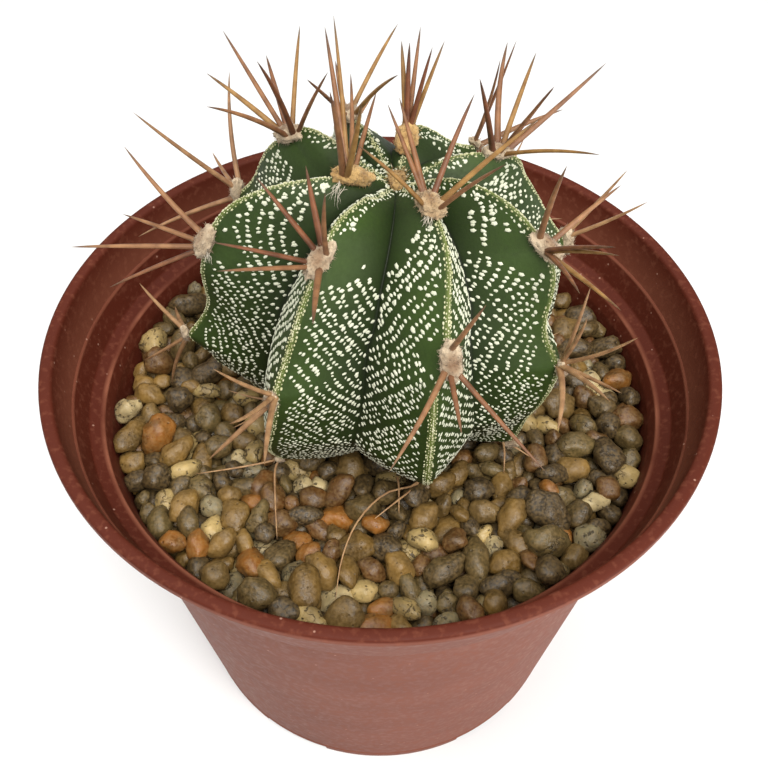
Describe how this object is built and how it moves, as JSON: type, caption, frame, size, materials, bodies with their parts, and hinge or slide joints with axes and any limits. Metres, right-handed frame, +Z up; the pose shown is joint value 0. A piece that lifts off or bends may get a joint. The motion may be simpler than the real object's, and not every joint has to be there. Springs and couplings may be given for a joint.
{
  "type": "potted star cactus",
  "caption": "Ribbed star cactus with flecked skin and woolly spined areoles, in a round plastic pot with a top dressing of river pebbles.",
  "frame": {"origin": "centre of the pot's foot, on the plane that the pot stands on", "axes": "+Z up along the pot's axis, -Y towards the front view, +X to the right in that view"},
  "size_m": [0.14, 0.14, 0.1719],
  "materials": {
    "pot_plastic": "matte terracotta-coloured plastic with fine scratches",
    "soil": "rough, dark potting mix",
    "pebbles": "water-worn river pebbles in tan, grey, olive and amber",
    "stem_skin": "dark green waxy skin with bands of cream woolly flecks",
    "wool": "cream wool pads with stiff amber-brown spines"
  },
  "bodies": {
    "root": {"pot": "pot_plastic", "soil": "soil", "gravel": "pebbles", "stem": "stem_skin", "crown_wool": "wool", "areole_front_right_1": "wool", "areole_front_right_2": "wool", "areole_front_right_3": "wool", "areole_right_1": "wool", "areole_right_2": "wool", "areole_right_3": "wool", "areole_back_right_1": "wool", "areole_back_right_2": "wool", "areole_back_right_3": "wool", "areole_rear_right_1": "wool", "areole_rear_right_2": "wool", "areole_rear_right_3": "wool", "areole_rear_right_4": "wool", "areole_rear_left_1": "wool", "areole_rear_left_2": "wool", "areole_rear_left_3": "wool", "areole_back_left_1": "wool", "areole_back_left_2": "wool", "areole_back_left_3": "wool", "areole_left_1": "wool", "areole_left_2": "wool", "areole_left_3": "wool", "areole_left_4": "wool", "areole_front_left_1": "wool", "areole_front_left_2": "wool", "areole_front_left_3": "wool"}
  },
  "joints": []
}
